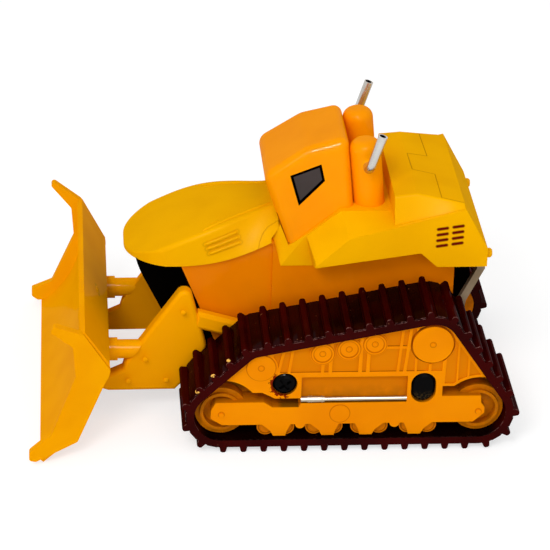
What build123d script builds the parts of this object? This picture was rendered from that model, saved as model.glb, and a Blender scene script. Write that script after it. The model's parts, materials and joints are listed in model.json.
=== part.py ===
"""A small toy crawler dozer: moulded body on two lugged tracks, with a blade that lifts.

Millimetres. +X is forward, +Y is left, +Z is up. The origin is on the floor, under the
middle of the whole toy. Side-view points are (ahead of the track centre, height).
"""

import os
from math import atan, atan2, cos, degrees, hypot, radians, sin, tan

from build123d import *

# ---- driving sizes -------------------------------------------------------------------------
# Body
chassis_half = 14.5
floor_z = 8.0            # underside of the chassis tub
deck_z = 55.2            # deck that the mufflers stand on
cover_half = 22.0        # fender side from the centre plane
cab_half = 14.4          # cab half width at its foot
cab_wall = 1.3
pane_t = 0.9
muffler_r = 3.85
muffler_y = 9.1
muffler_lean = 6.0       # degrees forward
exhaust_r = 1.15

# Arms and their pivot
arm_gap = 0.5            # chassis side to arm
arm_t = 2.6
pivot = (24.5, 22.5)     # (ahead, height) of the blade's lift pivot
pin_r = 1.5
pin_play = 0.08
eye_r = 3.2

# Running gear
idler_spread = 63.6      # front idler centre to rear idler centre
idler_belt_r = 8.6       # outside of the belt round an idler
belt_t = 1.9             # belt thickness
lug_h = 1.5              # lug height over the belt
lug_root = 1.9           # lug width where it leaves the belt
lug_tip = 1.25           # lug width at its tip
lug_edge = 0.3           # bevel at the tip
lug_count = 38           # evenly spaced along the middle of the belt's thickness
track_gap = 0.6          # arm to track
track_w = 18.8           # width of a track
roller_front = (22.3, 23.2, 5.7)    # (ahead, height, belt outside radius) of the front top roller
sprocket = (-19.5, 29.2, 8.0)       # the same, of the rear top sprocket
frame_gap = 0.15         # track frame to belt
face_set = 1.2           # track frame's face behind the track's outer edge

# Blade
blade_half = 43.0        # at the foremost points of its end plates
blade_reach = 78.8       # their distance ahead of the track centre
blade_splay = 22.8       # degrees the end plates open outwards
end_plate_t = 1.9

# ---- places worked out from them -----------------------------------------------------------
idler_z = idler_belt_r + lug_h
rear_reach = idler_spread / 2 + idler_belt_r + lug_h
mid = (rear_reach - blade_reach) / 2
arm_in = chassis_half + arm_gap
arm_out = arm_in + arm_t
track_in = arm_out + track_gap
track_out = track_in + track_w
idler_front = (idler_spread / 2, idler_z, idler_belt_r)
idler_rear = (-idler_spread / 2, idler_z, idler_belt_r)
pulleys = (idler_front, roller_front, sprocket, idler_rear)
datum = Plane(origin=(mid, 0, 0), x_dir=(1, 0, 0), z_dir=(0, -1, 0))
sides = (("left", 1), ("right", -1))

os.makedirs("parts", exist_ok=True)


def side(sign, y):
    """Side-view plane at distance y from the centre plane; extruding by sign * t goes inwards."""
    return datum.offset(-sign * y)


def cross(ahead):
    """Plane across the toy: local x is +Y, local y is +Z."""
    return Plane(origin=(mid + ahead, 0, 0), x_dir=(0, 1, 0), z_dir=(1, 0, 0))


def outline(points, mode=Mode.ADD):
    """A closed polygon in the sketch that is open."""
    Polygon(*points, align=None, mode=mode)


def belt_hull(shrink):
    """Fills the outline of a belt pulled tight round the four pulleys, shrunk by an amount."""
    for ahead, height, radius in pulleys:
        with Locations((ahead, height)):
            Circle(radius - shrink)
    make_hull()


def write(part, name):
    part.label = name
    export_step(part, f"parts/{name}.step")


# ---- tracks: one loop each, with its lugs in the outline ------------------------------------
belt_mid = belt_t / 2
with BuildSketch() as belt_middle:
    belt_hull(belt_mid)
loop = belt_middle.sketch.faces()[0].outer_wire()
start = loop.param_at_point(Vector(idler_rear[0] - idler_belt_r + belt_mid, idler_z))
lug_places = []
for number in range(lug_count):
    along = (start + number / lug_count) % 1.0
    spot = loop.position_at(along)
    run = loop.tangent_at(along)
    lug_places.append(Location((spot.X, spot.Y, 0), (0, 0, degrees(atan2(run.Y, run.X)))))

with BuildSketch() as lug:
    with BuildLine():
        Polyline(
            (-lug_root / 2, 0), (-lug_root / 2, belt_mid), (-lug_tip / 2, belt_mid + lug_h),
            (lug_tip / 2, belt_mid + lug_h), (lug_root / 2, belt_mid), (lug_root / 2, 0), close=True,
        )
    make_face()
    chamfer(lug.vertices().group_by(Axis.Y)[-1], lug_edge)
    mirror(about=Plane.XZ)

with BuildSketch() as belt_inside:
    belt_hull(belt_t)

for name, sign in sides:
    with BuildPart() as track:
        with BuildSketch(side(sign, track_out)):
            belt_hull(0)
            with Locations(*lug_places):
                add(lug.sketch)
            add(belt_inside.sketch, mode=Mode.SUBTRACT)
        extrude(amount=sign * track_w)
    write(track.part, f"track_{name}")

# ---- track frames: one moulding each, with wheels, beam and rollers in relief -----------------
face_y = track_out - face_set        # beam, plate, blocks and feet
pane_depth = 0.45
pane_y = face_y - pane_depth         # thin panes between the plate's ribs
recess_y = face_y - 1.4              # long recess that the rod lies in
well_y = face_y - 5.5                # ground behind the wheels and under the plate
seat_y = track_in + frame_gap        # inner side, on the chassis pads
back_wall_t = 2.0
roller_y = face_y - 1.0
wheel_y = face_y - 2.2               # wheel's flat side
wheel_lip_y = face_y - 1.4
wheel_r = idler_belt_r - belt_t - 2 * frame_gap
wheel_lip = (5.2, 4.4)               # outer and inner radius
wheel_dish_y = face_y - 3.6
arch_r = 9.7                         # edge of the plate round a wheel

ledge = (20.4, 21.7)                 # foot and head of the ledge over the recess
recess_span = (-13.8, 12.3)
beam_foot = 7.1
beam_top = 13.0
block_back = -22.5                   # rear end of the block round the rear screw
block_foot = 14.5                    # underside of the block round the front screw
plate_low = (17.4, 16.2)             # underside of the plate, rear and front
# lower edge of the plate, (ahead, height), from the front wheel back to the rear one
plate_foot = [
    (40, plate_low[1]), (21.9, plate_low[1]), (18.7, block_foot), (recess_span[1], block_foot),
    (recess_span[1], ledge[0]), (recess_span[0], ledge[0]), (recess_span[0], beam_top),
    (block_back, beam_top), (block_back, plate_low[0]), (-40, plate_low[0]),
]
# beam from wheel to wheel, with a dip under the front screw's block
beam = [
    (33.2, 13.4), (21.4, 13.4), (19.2, 11.9), (12.8, 11.9), (recess_span[1], beam_top),
    (recess_span[0], beam_top), (block_back, 14.5), (-32.2, 14.5), (-32.4, 12.4), (-33.3, 11.2),
    (-33.3, 9.6), (-30.6, beam_foot), (31.6, beam_foot), (34.4, 9.0), (34.4, 11.2),
]
# a rib's place ahead at the ledge, its place ahead at rib_head_z, and its width
ribs = (
    (18.1, 17.0, 0.7), (15.5, 14.8, 0.7), (7.3, 7.1, 0.8), (5.4, 5.3, 0.9), (-1.9, -2.0, 0.9),
    (-3.8, -3.9, 0.9), (-11.2, -11.6, 0.7), (-12.9, -13.4, 0.8), (-15.6, -15.6, 0.6),
    (-19.1, -19.1, 0.7), (-22.6, -22.7, 0.9), (-26.0, -26.0, 0.5), (-28.7, -28.7, 0.5),
)
rib_head_z = 27.0
rib_edge = 0.7                       # plate left round the panes
cross_rib = (-8.0, -15.0, 28.4, 0.7)        # two ends ahead, height, width
carriers = ((7.4, 26.9), (1.0, 28.1), (-5.3, 29.4))
carrier_r = 2.8
sprocket_face_r = 5.0
hub_r = 0.6
mark = (2.6, 10.0)                   # round mark on the beam
mark_r = 2.4
proud = 0.25                         # how far discs stand over the face

# the foot over each pair of bottom rollers: its middle ahead, and 1 where its long slope is in front
feet = ((17.4, 1), (5.4, 1), (-4.0, -1), (-16.1, -1))
# its height, and how far it reaches from its middle on the long and on the short side
foot_shape = ((beam_foot + 0.4, 4.9, 2.9), (5.3, 2.3, 1.9), (3.8, 1.5, 1.5))
bottom_roller = (2.2, 5.9)           # radius, height
bottom_roller_step = 2.45
knobs = (12.3, -11.1)                # half-round knobs under the beam
knob_r = 1.25

screw_front = (16.4, 18.5)
screw_hole_r = 3.1
plug_rear = (-17.8, 17.0)            # oval plug over the rear screw
plug_h = 8.4                         # height of its hole
screw_play = 0.15                    # head or plug to the wall of its hole
screw_set = 0.8                      # head or plug behind the face
screw_head_t = 2.0
screw_edge = 0.6                     # bevel of its rim
rod_z = 13.85
rod_y = face_y - 0.6
rod_r = 0.5
sleeve_r = 0.75
clevis_l = 1.5
sleeve_l = 4.3

with BuildSketch() as inside_belt:
    belt_hull(belt_t + frame_gap)

with BuildSketch() as plate:
    add(inside_belt.sketch)
    outline(plate_foot + [(-40, 40), (40, 40)], Mode.INTERSECT)
    with Locations(idler_front[:2], idler_rear[:2]):
        Circle(arch_r, mode=Mode.SUBTRACT)
    outline(beam)

with BuildSketch() as panes_between:
    belt_hull(belt_t + frame_gap + rib_edge)
    outline([
        (19.4, ledge[1]), (19.4, 40), (-40, 40), (-40, plate_low[0] + rib_edge),
        (block_back, plate_low[0] + rib_edge), (block_back, ledge[1]),
    ], Mode.INTERSECT)
    with Locations(idler_rear[:2]):
        Circle(arch_r + rib_edge, mode=Mode.SUBTRACT)
    for foot, head, width in ribs:
        lean = (head - foot) / (rib_head_z - ledge[1])
        with Locations(Location((foot, ledge[1], 0), (0, 0, -degrees(atan(lean))))):
            Rectangle(width, 2 * rib_head_z, mode=Mode.SUBTRACT)
    with Locations(((cross_rib[0] + cross_rib[1]) / 2, cross_rib[2])):
        Rectangle(cross_rib[0] - cross_rib[1], cross_rib[3], mode=Mode.SUBTRACT)
    with Locations(*carriers):
        Circle(carrier_r + 0.3, mode=Mode.SUBTRACT)
    with Locations(roller_front[:2]):
        Circle(roller_front[2] - belt_t + 0.3, mode=Mode.SUBTRACT)


def screw_shapes(shrink):
    """The round screw and the oval plug of one side, drawn in by an amount."""
    with Locations(screw_front):
        Circle(screw_hole_r - shrink)
    with Locations(plug_rear):
        SlotOverall(plug_h - 2 * shrink, 2 * (screw_hole_r - shrink), rotation=90)


def disc(sign, place, radius, low_y, high_y):
    """A round boss on a track frame, from low_y out to high_y, cut off where the belt runs."""
    with BuildSketch(side(sign, high_y)) as boss:
        with Locations(place):
            Circle(radius)
        add(inside_belt.sketch, mode=Mode.INTERSECT)
    extrude(boss.sketch, amount=sign * (high_y - low_y))


def dish(sign, place, radius, inner, low_y, high_y):
    """A round hollow from high_y in to low_y, with a middle left standing where inner isn't 0."""
    with BuildSketch(side(sign, high_y)) as hollow:
        with Locations(place):
            Circle(radius)
            if inner:
                Circle(inner, mode=Mode.SUBTRACT)
    extrude(hollow.sketch, amount=sign * (high_y - low_y), mode=Mode.SUBTRACT)


for name, sign in sides:
    with BuildPart() as frame:
        with BuildSketch(side(sign, well_y)):
            add(inside_belt.sketch)
            with Locations((0, beam_foot)):
                Rectangle(idler_spread, idler_spread, align=(Align.CENTER, Align.MAX), mode=Mode.SUBTRACT)
        extrude(amount=sign * (well_y - seat_y))
        with BuildSketch(side(sign, seat_y + back_wall_t)):
            add(inside_belt.sketch)
        extrude(amount=sign * back_wall_t)
        # wheels with a raised lip and a dished middle
        for place in (idler_front[:2], idler_rear[:2]):
            disc(sign, place, wheel_r, seat_y, wheel_y)
            disc(sign, place, wheel_lip[0], wheel_y, wheel_lip_y)
            dish(sign, place, wheel_lip[1], 0, wheel_dish_y, wheel_lip_y)
        # bottom rollers in pairs
        for middle, lean in feet:
            for step in (bottom_roller_step, -bottom_roller_step):
                place = (middle + 0.9 * lean + step, bottom_roller[1])
                disc(sign, place, bottom_roller[0], roller_y - 2.4, roller_y)
        # plate and beam
        with BuildSketch(side(sign, face_y)):
            add(plate.sketch)
        extrude(amount=sign * (face_y - well_y))
        # feet and knobs under the beam
        with BuildSketch(side(sign, face_y - 0.1)):
            for middle, lean in feet:
                long_side = [(middle + lean * reach, height) for height, reach, _ in foot_shape]
                short_side = [(middle - lean * reach, height) for height, _, reach in foot_shape]
                outline(long_side + short_side[::-1])
            with Locations(*[(ahead, beam_foot) for ahead in knobs]):
                Circle(knob_r)
        extrude(amount=sign * (face_y - roller_y))
        # floor of the rod's recess
        with BuildSketch(side(sign, recess_y)):
            with Locations((sum(recess_span) / 2, (beam_top + ledge[0]) / 2)):
                Rectangle(recess_span[1] - recess_span[0] + 1, ledge[0] - beam_top + 1)
        extrude(amount=sign * (recess_y - well_y))
        # panes between the ribs, then the discs in front of them
        with BuildSketch(side(sign, face_y)):
            add(panes_between.sketch)
        extrude(amount=sign * pane_depth, mode=Mode.SUBTRACT)
        for place in carriers:
            disc(sign, place, carrier_r, pane_y, face_y + proud)
            dish(sign, place, carrier_r - 0.5, 0, face_y, face_y + proud)
        dish(sign, sprocket[:2], sprocket_face_r + 0.5, sprocket_face_r, face_y - 1, face_y)
        disc(sign, sprocket[:2], sprocket_face_r, pane_y, face_y + proud)
        disc(sign, roller_front[:2], roller_front[2] - belt_t - proud, pane_y, face_y + proud)
        disc(sign, mark, mark_r, pane_y, face_y + proud / 2)
        for place in (idler_front[:2], idler_rear[:2]):
            disc(sign, place, hub_r, pane_y, face_y + 2 * proud)
        # holes for the screw and the plug
        with BuildSketch(side(sign, face_y)):
            screw_shapes(0)
        extrude(amount=sign * (screw_set + screw_head_t), mode=Mode.SUBTRACT)
    write(frame.part, f"track_frame_{name}")

    with BuildPart() as screws:
        with BuildSketch(side(sign, face_y - screw_set)):
            screw_shapes(screw_play)
        extrude(amount=sign * screw_head_t)
        rims = screws.edges().filter_by(lambda edge: abs(edge.center().Y) > face_y - screw_set - 0.01)
        chamfer(rims, screw_edge)
    write(screws.part, f"side_screws_{name}")

    rod_line = Plane(origin=(mid + recess_span[1], sign * rod_y, rod_z), z_dir=(-1, 0, 0))
    with BuildPart() as rod:
        with BuildSketch(rod_line):
            Circle(rod_r)
        extrude(amount=recess_span[1] - recess_span[0])
        with BuildSketch(rod_line):
            Circle(rod_r + 0.15)
        extrude(amount=clevis_l)
        with BuildSketch(rod_line.offset(clevis_l)):
            Circle(sleeve_r)
        extrude(amount=sleeve_l)
    write(rod.part, f"tension_rod_{name}")

# ---- outside form of the cab ------------------------------------------------------------------
cab_lean = 0.11          # how much the sides lean in for each mm of height
cab_foot = 44.0
cab_round = 2.4          # long roof edges
# side view, (ahead, height), from the foot of the windscreen round over the roof
cab_profile = [(15.1, 45.9), (21.2, 63.3), (10.6, 70.5), (0.4, 73.1), (-1.4, deck_z - 1), (-1.4, 45.9)]
cab_corners = ((cab_profile[1], 3.0), (cab_profile[2], 6.0), (cab_profile[3], 2.0))
window = [(14.6, 63.6), (7.0, 66.5), (6.0, 62.2), (12.3, 55.8)]
screen_half = 8.2
screen_foot = 55.5       # height of the windscreen's lower edge
screen_h = 5.7
screen_depth = 7.0


def cab_side(shrink):
    """Cuts away what lies outside the two leaning sides, drawn in by an amount."""
    for sign in (1, -1):
        foot = cab_half - shrink
        lean = Plane(origin=(mid, sign * foot, cab_foot), z_dir=(0, sign, cab_lean))
        split(bisect_by=lean, keep=Keep.BOTTOM)


with BuildPart() as cab_outside:
    with BuildSketch(side(1, cab_half)) as profile:
        outline(cab_profile)
        for corner, radius in cab_corners:
            fillet(profile.vertices().sort_by_distance(corner)[0], radius)
    extrude(amount=2 * cab_half)
    cab_side(0)
    brow_z = cab_profile[1][1] - 1
    roof_edges = cab_outside.edges().filter_by(lambda e: e.center().Z > brow_z)
    roof_sides = roof_edges.filter_by(lambda e: abs(e.center().Y) > cab_half / 2)
    fillet(roof_sides, cab_round)

# ---- bonnet: a smooth skin over five sections, from the nose back to the cab ------------------------
bonnet_foot = chassis_half + 0.3
# ahead, foot height, crease half width, crease height, rise of the crown between the creases
bonnet_sections = (
    (55.0, 40.3, 14.0, 40.9, 0.2),
    (46.0, 40.3, 14.4, 44.9, 0.5),
    (36.0, 40.6, 14.3, 48.9, 0.6),
    (27.0, 42.8, 11.1, 51.3, 0.6),
    (17.0, 47.6, 7.0, 53.4, 0.4),
)
bonnet_nose = bonnet_sections[0][0]
nose_round = 12.5        # corners of the nose seen from above
bonnet_end = ((18.9, 47.3), (15.9, 50.7))       # its rear end slopes back from the foot
crease_round = 1.2
rim_round = 0.5          # the nose's upper rim
with BuildPart() as bonnet:
    for ahead, foot_z, crease, crease_z, crown in bonnet_sections:
        with BuildSketch(cross(ahead)):
            with BuildLine():
                ThreePointArc((-crease, crease_z), (0, crease_z + crown), (crease, crease_z))
                Polyline(
                    (crease, crease_z), (bonnet_foot, foot_z), (-bonnet_foot, foot_z), (-crease, crease_z),
                )
            make_face()
    loft()
    long_edges = bonnet.edges().sort_by(SortBy.LENGTH)[-6:].filter_by(lambda e: abs(e.center().Y) > 1)
    creases = long_edges.sort_by(Axis.Z)[-2:]
    fillet(creases, crease_round)
    with BuildSketch(Plane.XY.offset(floor_z)):
        with Locations((mid, 0)):
            RectangleRounded(2 * bonnet_nose, 2 * bonnet_foot + 0.4, nose_round)
    extrude(amount=deck_z, mode=Mode.INTERSECT)
    with BuildSketch(side(1, 2 * bonnet_foot)):
        outline([*bonnet_end, (bonnet_end[1][0], floor_z), (bonnet_end[0][0], floor_z)])
    extrude(amount=4 * bonnet_foot, mode=Mode.SUBTRACT)
    nose_edges = bonnet.edges().filter_by(lambda e: e.center().X > mid + bonnet_sections[1][0])
    rim = nose_edges.filter_by(lambda e: e.center().Z > bonnet_sections[0][1] + 0.3)
    fillet(rim, rim_round)
write(bonnet.part, "bonnet")

# ---- grille nose and chassis tub, under the bonnet ------------------------------------------
nose_half = chassis_half - 0.7      # the tub is narrower ahead of its step
step_ahead = 18.5
grille_head = (52.2, bonnet_sections[0][1])     # top and foot of the sloping front
grille_foot = (38.8, 13.5)
grille_back = (41.4, 30.3)      # its rear edge, ahead at the top and at the foot
grille_round = 4.0
slat_count = 7
slat_pitch = 3.4
slat_h = 1.7
slat_depth = 0.9
slat_half = 8.5
under_bonnet = [(ahead, foot_z + 0.4) for ahead, foot_z, *_ in bonnet_sections]

with BuildPart() as grille:
    with BuildSketch(side(1, nose_half)):
        outline([
            (grille_head[0], under_bonnet[0][1]), (grille_back[0], under_bonnet[1][1]),
            (grille_back[1], grille_foot[1]), grille_foot,
        ])
    extrude(amount=2 * nose_half)
    front = grille.faces().sort_by(Axis.X)[-1]
    fillet(front.edges().filter_by(lambda e: abs(e.center().Y) > 1), grille_round)
    add(bonnet.part, mode=Mode.SUBTRACT)
    rise = (grille_head[0] - grille_foot[0], grille_head[1] - grille_foot[1])
    slope = Plane(
        origin=(mid + grille_foot[0] + rise[0] / 2, 0, grille_foot[1] + rise[1] / 2),
        x_dir=(0, 1, 0), z_dir=(rise[1], 0, -rise[0]),
    )
    with BuildSketch(slope):
        with GridLocations(0, slat_pitch, 1, slat_count):
            Rectangle(2 * slat_half, slat_h)
    extrude(amount=-slat_depth, mode=Mode.SUBTRACT)
write(grille.part, "grille")

tub_top = 46.0
tub_back = -27.0
tub_front = 26.0
tub_slant = 4.0          # slanted corner at its rear
pads = [(16, 12), (16, 24), (-16, 31), (-26, 28), (-26, 12)]       # side view of the track frames' pads
apron = ((16.5, 40.2), (18.4, 46.9))        # foot and head of the front edge of the cover's apron
apron_back = 8.0         # rear end of the apron's foot
pad_y = track_in + frame_gap
with BuildPart() as chassis:
    with BuildSketch(side(1, chassis_half)):
        outline([
            (grille_back[0], under_bonnet[1][1]), *under_bonnet[2:4],
            apron[1], apron[0], (apron_back, apron[0][1]), (apron_back, tub_top),
            (tub_back, tub_top), (tub_back, floor_z + tub_slant), (tub_back + tub_slant, floor_z),
            (tub_front, floor_z), (grille_back[1], grille_foot[1]),
        ])
    extrude(amount=2 * chassis_half)
    for _, sign in sides:
        with BuildSketch(side(sign, chassis_half)):
            with Locations((step_ahead, 0)):
                Rectangle(bonnet_nose, 2 * tub_top, align=(Align.MIN, Align.CENTER))
        extrude(amount=sign * (chassis_half - nose_half), mode=Mode.SUBTRACT)
        # pads that carry the track frames
        with BuildSketch(side(sign, pad_y)):
            outline(pads)
        extrude(amount=sign * (pad_y - chassis_half))
        # pins that the blade's arms turn on
        with BuildSketch(side(sign, arm_out)):
            with Locations(pivot):
                Circle(pin_r)
        extrude(amount=sign * (arm_out - nose_half))
    add(bonnet.part, mode=Mode.SUBTRACT)
write(chassis.part, "chassis")

base_l = 44.0
base_w = 25.0
base_t = 1.6
with BuildPart() as base_plate:
    with BuildSketch(Plane.XY.offset(floor_z - base_t)):
        with Locations((mid, 0)):
            RectangleRounded(base_l, base_w, 2 * base_t)
    extrude(amount=base_t)
    chamfer(base_plate.edges().group_by(Axis.Z)[0], base_t / 3)
write(base_plate.part, "base_plate")

# ---- cover behind the cab, with its apron and the fenders ------------------------------------
# side views, (ahead, height): the middle with its apron, then a fender's inner and outer edge
cover_back = -33.8
fender_z = 43.2
slope_foot = (14.6, 45.4)        # where the slope beside the cab starts
slope_head = (2.0, deck_z)
hump_back = (-27.8, 58.8)
apron_half = (bonnet_foot, 12.4)            # half width at the foot and head of the apron's front edge
ridge_back = (10.4, 48.5)        # where the apron's side wall runs out
under_cover = [(cover_back, fender_z), (-21.4, fender_z), (-17.3, 47.0)]
rear_side = [hump_back, (cover_back, 48.0), *under_cover]
cover_middle = [
    *apron, (16.6, 50.2), slope_foot, slope_head, (-10.4, deck_z), *rear_side, (apron_back, apron[0][1]),
]
fender_inner = [
    (8.6, apron[0][1]), ridge_back, slope_head, (-10.4, deck_z), *rear_side, (apron_back, apron[0][1]),
]
fender_outer = [(8.6, fender_z), (8.2, 43.7), (0.3, 51.1), (-10.2, 53.8), *rear_side, (apron_back, fender_z)]
# ahead, half width at the deck, height there, roof half width, roof height
hump_sections = (
    (-10.6, 20.8, 54.2, 18.4, 60.8),
    (-16.0, 20.9, 55.6, 18.1, 61.4),
    (-27.6, 21.4, 58.6, 19.6, 59.5),
)
hump_foot = 50.0         # the hump starts inside the cover, at this height
hump_round = 0.8
lamp_place = (19.6, 45.8)        # (y, height) of the rear lamps
lamp_r = 1.2
lamp_l = 1.4
with BuildPart() as cover_body:
    with BuildSketch(side(1, bonnet_foot)):
        outline(cover_middle)
    extrude(amount=2 * bonnet_foot)
    for _, sign in sides:
        low = Vector(mid + apron[0][0], sign * apron_half[0], apron[0][1])
        high = Vector(mid + apron[1][0], sign * apron_half[1], apron[1][1])
        back = Vector(mid + ridge_back[0], sign * apron_half[0], ridge_back[1])
        outward = (back - low).cross(high - low) * sign
        split(bisect_by=Plane(origin=low, z_dir=outward), keep=Keep.BOTTOM)

with BuildPart() as cover:
    add(cover_body.part)
    for _, sign in sides:
        with BuildSketch(side(sign, chassis_half)):
            outline(fender_inner)
        with BuildSketch(side(sign, cover_half)):
            outline(fender_outer)
        loft(ruled=True)
    for ahead, foot, foot_z, roof, roof_z in hump_sections:
        with BuildSketch(cross(ahead)):
            outline([
                (-foot, hump_foot), (foot, hump_foot), (foot, foot_z),
                (roof, roof_z), (-roof, roof_z), (-foot, foot_z),
            ])
    loft(ruled=True)
    # room for the chassis tub
    with BuildSketch(side(1, chassis_half)):
        outline([(apron_back, floor_z), (apron_back, tub_top), (tub_back, tub_top), (tub_back, floor_z)])
    extrude(amount=2 * chassis_half, mode=Mode.SUBTRACT)
    add(bonnet.part, mode=Mode.SUBTRACT)
    top_edges = cover.edges().filter_by(lambda e: e.center().Z > hump_back[1] + 1.2)
    hump_edges = top_edges.filter_by(lambda e: abs(e.center().Y) > 1)
    fillet(hump_edges, hump_round)
    # rear lamps
    with BuildSketch(cross(cover_back)):
        with Locations(*[(sign * lamp_place[0], lamp_place[1]) for _, sign in sides]):
            Circle(lamp_r)
    extrude(amount=-lamp_l)
    chamfer(cover.edges().group_by(Axis.X)[0], lamp_r / 3)
write(cover.part, "rear_cover")

# ---- cab shell, its panes and the screen ---------------------------------------------------------
def cab_form(shrink):
    """Fills the outside form of the cab, drawn in by an amount."""
    with BuildSketch(side(1, cab_half)) as form:
        outline(cab_profile)
        offset(amount=-shrink, kind=Kind.INTERSECTION)
    extrude(form.sketch, amount=2 * cab_half)
    cab_side(shrink)


pane_set = 0.25          # panes lie this far behind the cab's outside
with BuildPart() as cab_inside:
    cab_form(cab_wall)
with BuildPart() as pane_outside:
    cab_form(pane_set)
with BuildPart() as pane_inside:
    cab_form(pane_set + pane_t)

with BuildPart() as openings:
    for _, sign in sides:
        with BuildSketch(side(sign, cab_half)):
            outline(window)
        extrude(amount=sign * cab_half / 2)
    with BuildSketch(cross(cab_profile[1][0] + 1)):
        with Locations((0, screen_foot + screen_h / 2)):
            Rectangle(2 * screen_half, screen_h)
    extrude(amount=-screen_depth)

with BuildPart() as cab:
    add(cab_outside.part)
    for other in (cab_inside, openings, cover, chassis, bonnet):
        add(other.part, mode=Mode.SUBTRACT)
    # open below, over the cover's slope and deck
    with BuildSketch(side(1, cab_half)):
        outline([
            (slope_foot[0] + cab_wall, floor_z), (slope_foot[0] + cab_wall, slope_foot[1]),
            slope_foot, slope_head,
            (hump_sections[0][0], deck_z), (hump_sections[0][0], floor_z),
        ])
    extrude(amount=2 * cab_half, mode=Mode.SUBTRACT)
write(cab.part, "cab")

with BuildPart() as panes:
    add(openings.part)
    add(pane_outside.part, mode=Mode.INTERSECT)
    add(pane_inside.part, mode=Mode.SUBTRACT)
for name, pane in zip(("side_window_right", "windscreen", "side_window_left"), panes.solids().sort_by(Axis.Y)):
    write(Part(pane.wrapped), name)

# ---- mufflers and exhausts --------------------------------------------------------------------
muffler_ahead = -5.4
muffler_h = 17.0
muffler_dome = 2.6
exhaust_z = 66.4         # where an exhaust leaves its muffler
exhaust_out = 3.4        # from the muffler's side to the stack's line
exhaust_top = 76.0
exhaust_bend = 2.4
exhaust_lean = 3.0       # how far the stack's tip trails
muffler_base = Plane(origin=(mid + muffler_ahead, 0, deck_z), x_dir=(1, 0, 0), z_dir=(0, 0, 1))
muffler_axis = muffler_base.rotated((0, muffler_lean, 0))
for name, sign in sides:
    rise = exhaust_z - deck_z
    port_ahead = muffler_ahead + rise * tan(radians(muffler_lean))
    port = Vector(mid + port_ahead, sign * (muffler_y + muffler_r - 1.2), exhaust_z)
    port_plane = Plane(origin=port, z_dir=(0, sign, 0))
    with BuildPart() as muffler:
        with BuildSketch(muffler_axis.offset(-1)):
            with Locations((0, sign * muffler_y)):
                Circle(muffler_r)
        extrude(amount=muffler_h + 1)
        fillet(muffler.edges().sort_by(Axis.Z)[-1], muffler_dome)
        split(bisect_by=Plane.XY.offset(deck_z), keep=Keep.TOP)
        add(cab_outside.part, mode=Mode.SUBTRACT)
        with BuildSketch(port_plane):
            Circle(exhaust_r)
        extrude(amount=muffler_r, mode=Mode.SUBTRACT)
    write(muffler.part, f"muffler_{name}")

    corner = port + Vector(0, sign * (exhaust_out + 1.2), 0)
    tip = Vector(corner.X - exhaust_lean, corner.Y, exhaust_top)
    with BuildPart() as exhaust:
        with BuildLine() as run:
            FilletPolyline(port, corner, tip, radius=exhaust_bend)
        with BuildSketch(port_plane):
            Circle(exhaust_r)
        sweep()
    write(exhaust.part, f"exhaust_{name}")

# ---- rear bracket and its two struts ------------------------------------------------------------
bracket_half = 12.0
bracket_back = -31.5
bracket_z = (20.0, 36.0)        # its foot at the tub, and its knee
with BuildPart() as bracket:
    with BuildSketch(side(1, bracket_half)):
        outline([
            (tub_back, fender_z), (bracket_back + 1.5, fender_z), (bracket_back, bracket_z[1]),
            (bracket_back + 1, bracket_z[0] + 4), (tub_back, bracket_z[0]),
        ])
    extrude(amount=2 * bracket_half)
write(bracket.part, "rear_bracket")

strut_t = 1.8
strut_w = 2.0
strut_line = [(cover_back + 0.2, fender_z), (-34.9, 38.4), (-30.6, 29.4), (-30.0, 25.0)]     # its rear edge
for name, sign in sides:
    with BuildPart() as strut:
        with BuildSketch(side(sign, bracket_half + strut_t)):
            outline(strut_line + [(ahead + strut_w, height) for ahead, height in strut_line[::-1]])
        extrude(amount=sign * strut_t)
    write(strut.part, f"rear_strut_{name}")

# ---- blade: mouldboard between two end plates that splay outwards ------------------------------
# side views, (behind the foremost point of the blade, height)
board_front = [(12.5, 33.9), (12.8, 19.0), (2.6, 1.3)]      # curved face, from its top down to the lip
board_back = [(3.4, 0.3), (11.4, 5.4), (19.8, 20.6), (19.8, 23.6), (13.8, 33.9)]
plate_front = [(6.4, 37.8), (5.5, 36.6), (10.9, 31.0), (11.5, 22.8), (5.5, 7.9), (0.0, 4.3), (0.0, 2.2)]
plate_back = [(1.6, 1.4), (11.8, 4.3), (20.0, 22.2), (13.5, 33.7)]
plate_round = 0.8
board_ridge = blade_reach - 19.8        # rearmost line of the mouldboard
plate_spread = blade_half - 20.0 * tan(radians(blade_splay))        # a plate's half distance there


def from_lip(points):
    return [(blade_reach - behind, height) for behind, height in points]


def splayed(sign, inward):
    """Plane of an end plate's outer face, moved inwards by an amount."""
    face = Plane(
        origin=(mid + blade_reach - 20.0, sign * plate_spread, 0),
        z_dir=(-sin(radians(blade_splay)), sign * cos(radians(blade_splay)), 0),
    )
    return face.offset(-inward)


with BuildPart() as end_plates:
    for _, sign in sides:
        with BuildPart() as end_plate:
            with BuildSketch(side(sign, blade_half)) as shape:
                outline(from_lip(plate_front + plate_back))
                fillet(shape.vertices(), plate_round)
            extrude(amount=sign * blade_half)
            split(bisect_by=splayed(sign, 0), keep=Keep.BOTTOM)
            split(bisect_by=splayed(sign, end_plate_t), keep=Keep.TOP)
with BuildPart() as blade:
    with BuildSketch(side(1, blade_half)):
        with BuildLine():
            ThreePointArc(*from_lip(board_front))
            Polyline(*from_lip([board_front[-1], *board_back, board_front[0]]))
        make_face()
    extrude(amount=2 * blade_half)
    for _, sign in sides:
        split(bisect_by=splayed(sign, end_plate_t / 2), keep=Keep.BOTTOM)
    add(end_plates.part)
write(blade.part, "blade")

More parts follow.
